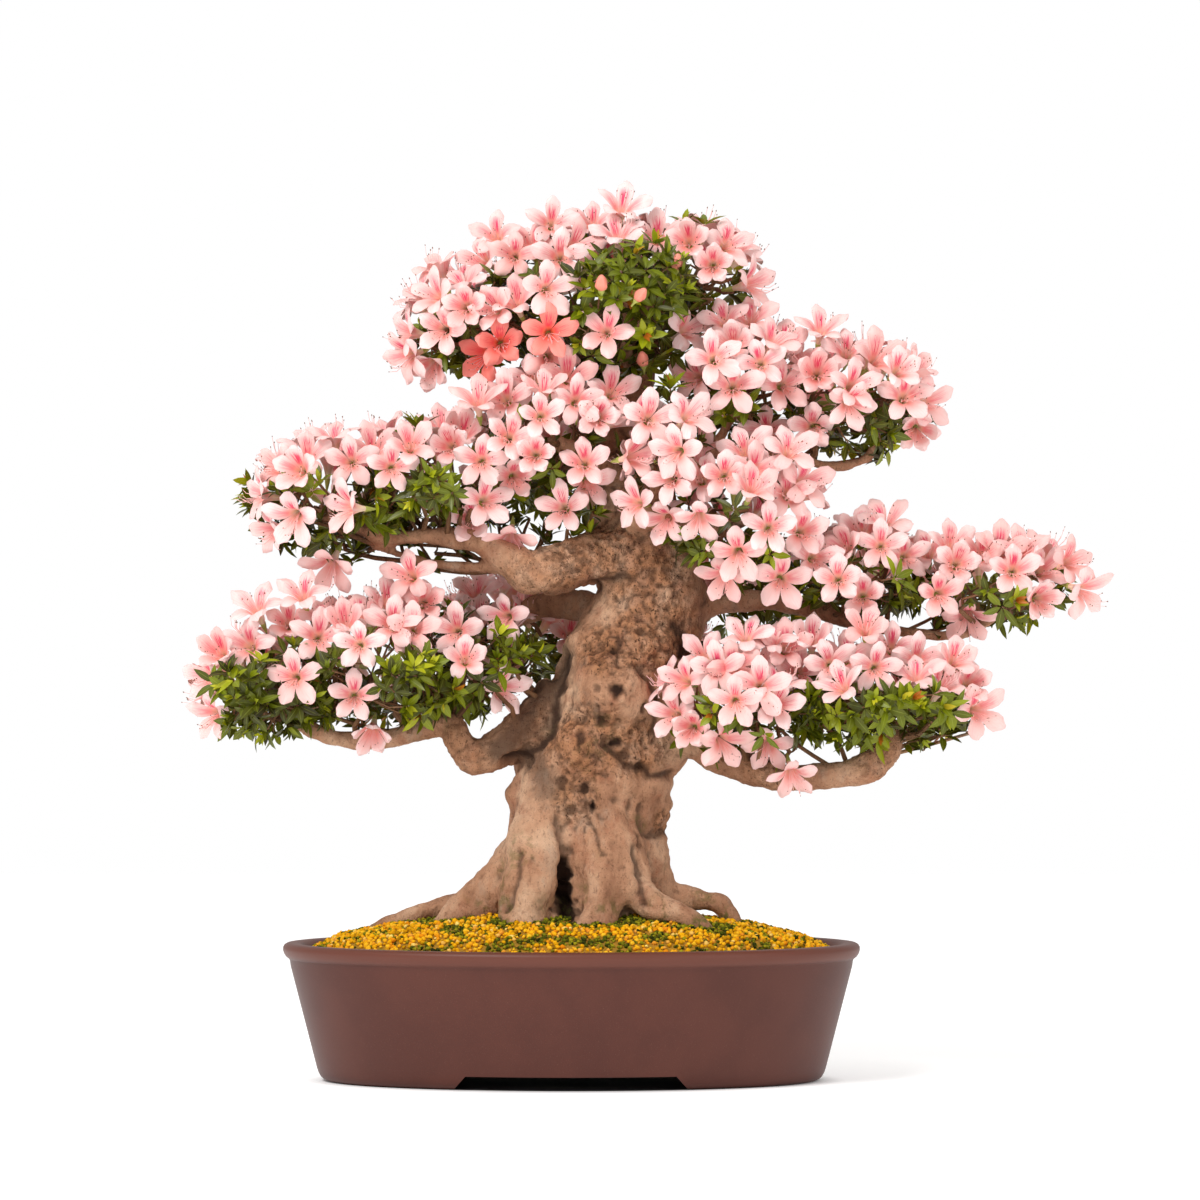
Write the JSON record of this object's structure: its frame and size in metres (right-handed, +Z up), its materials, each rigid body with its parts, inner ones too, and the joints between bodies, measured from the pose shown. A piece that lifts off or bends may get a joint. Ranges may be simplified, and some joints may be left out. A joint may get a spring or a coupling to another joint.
{
  "type": "satsuki azalea bonsai",
  "caption": "Informal upright azalea bonsai in flower, with flared surface roots, layered foliage pads and pale pink blooms, in a shallow oval unglazed pot.",
  "frame": {"origin": "middle of the whole object's bounding box, on the plane the pot's feet stand on", "axes": "+X to the right and +Z up as seen from the front of the tree, +Y to its back"},
  "size_m": [0.8326, 0.3833, 0.7988],
  "materials": {
    "unglazed_stoneware": "fine matte unglazed brown-maroon clay",
    "kanuma_soil": "loose golden grains of kanuma pumice with some moss",
    "black_plastic_mesh": "black moulded mesh",
    "azalea_bark": "thin smooth pinkish-tan bark with darker pits and scars",
    "azalea_leaf": "small glossy green leaves",
    "pale_pink_petal": "soft pale pink petals with a salmon throat and crimson blotch",
    "coral_petal": "soft coral petals"
  },
  "bodies": {
    "root": {"back_left_blooms_1": "pale_pink_petal", "back_left_blooms_2": "pale_pink_petal", "back_left_leaves": "azalea_leaf", "back_middle_blooms_1": "pale_pink_petal", "back_middle_leaves": "azalea_leaf", "back_right_blooms_1": "pale_pink_petal", "back_right_blooms_2": "pale_pink_petal", "back_right_leaves": "azalea_leaf", "back_upper_blooms_1": "pale_pink_petal", "back_upper_leaves": "azalea_leaf", "crown_blooms_1": "pale_pink_petal", "crown_blooms_2": "pale_pink_petal", "crown_blooms_3": "pale_pink_petal", "crown_blooms_4": "pale_pink_petal", "crown_blooms_5": "pale_pink_petal", "crown_coral_blooms_1": "coral_petal", "crown_leaves": "azalea_leaf", "drain_screen_left": "black_plastic_mesh", "drain_screen_right": "black_plastic_mesh", "front_right_blooms_1": "pale_pink_petal", "front_right_blooms_2": "pale_pink_petal", "front_right_blooms_3": "pale_pink_petal", "front_right_leaves": "azalea_leaf", "lower_left_blooms_1": "pale_pink_petal", "lower_left_blooms_2": "pale_pink_petal", "lower_left_blooms_3": "pale_pink_petal", "lower_left_blooms_4": "pale_pink_petal", "lower_left_blooms_5": "pale_pink_petal", "lower_left_leaves": "azalea_leaf", "lower_right_blooms_1": "pale_pink_petal", "lower_right_blooms_2": "pale_pink_petal", "lower_right_blooms_3": "pale_pink_petal", "lower_right_leaves": "azalea_leaf", "mid_right_blooms_1": "pale_pink_petal", "mid_right_blooms_2": "pale_pink_petal", "mid_right_leaves": "azalea_leaf", "pot": "unglazed_stoneware", "soil": "kanuma_soil", "trunk": "azalea_bark", "upper_left_blooms_1": "pale_pink_petal", "upper_left_blooms_2": "pale_pink_petal", "upper_left_blooms_3": "pale_pink_petal", "upper_left_blooms_4": "pale_pink_petal", "upper_left_blooms_5": "pale_pink_petal", "upper_left_leaves": "azalea_leaf", "upper_right_blooms_1": "pale_pink_petal", "upper_right_blooms_2": "pale_pink_petal", "upper_right_blooms_3": "pale_pink_petal", "upper_right_leaves": "azalea_leaf"}
  },
  "joints": []
}
